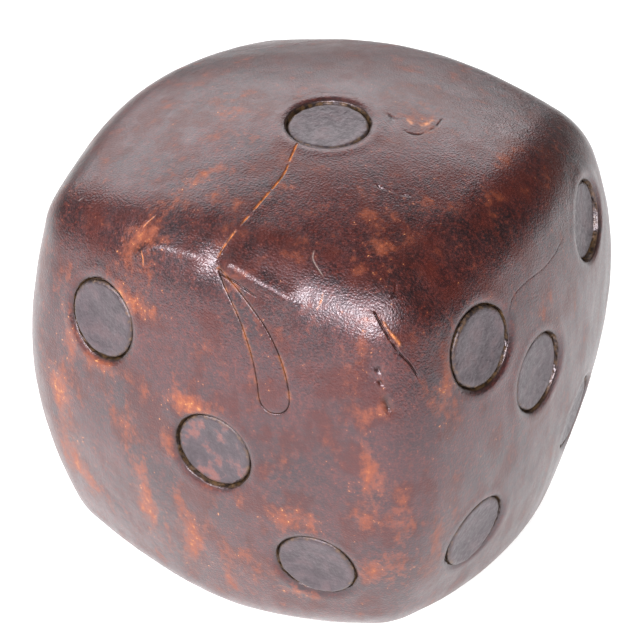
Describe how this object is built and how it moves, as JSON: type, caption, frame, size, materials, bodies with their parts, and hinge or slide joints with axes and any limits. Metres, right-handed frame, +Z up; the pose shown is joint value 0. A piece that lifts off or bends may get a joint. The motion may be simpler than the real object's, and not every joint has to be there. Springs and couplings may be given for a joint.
{
  "type": "leather-covered die",
  "caption": "Large closed leather-covered die with crowned faces, rounded edges and inlaid black leather spots.",
  "frame": {"origin": "middle of the flat that the die rests on, under face six", "axes": "+Z up through face one; face three faces -Y, face five +X, face four +Y, face two -X"},
  "size_m": [0.1, 0.1, 0.0989],
  "materials": {
    "core_wood": "plain sawn hardwood, hidden under the leather",
    "cover_leather": "dark red-brown varnished leather, worn to orange in places",
    "spot_leather": "black leather, smooth and slightly shiny"
  },
  "bodies": {
    "root": {"base_panel": "cover_leather", "core_block": "core_wood", "five_spot_lower_left": "spot_leather", "five_spot_lower_right": "spot_leather", "five_spot_middle": "spot_leather", "five_spot_upper_left": "spot_leather", "five_spot_upper_right": "spot_leather", "four_spot_lower_left": "spot_leather", "four_spot_lower_right": "spot_leather", "four_spot_upper_left": "spot_leather", "four_spot_upper_right": "spot_leather", "leather_cap": "cover_leather", "let_in_patch": "cover_leather", "one_spot_middle": "spot_leather", "six_spot_lower_left": "spot_leather", "six_spot_lower_right": "spot_leather", "six_spot_middle_left": "spot_leather", "six_spot_middle_right": "spot_leather", "six_spot_upper_left": "spot_leather", "six_spot_upper_right": "spot_leather", "three_spot_lower_right": "spot_leather", "three_spot_middle": "spot_leather", "three_spot_upper_left": "spot_leather", "two_spot_lower_right": "spot_leather", "two_spot_upper_left": "spot_leather"}
  },
  "joints": []
}
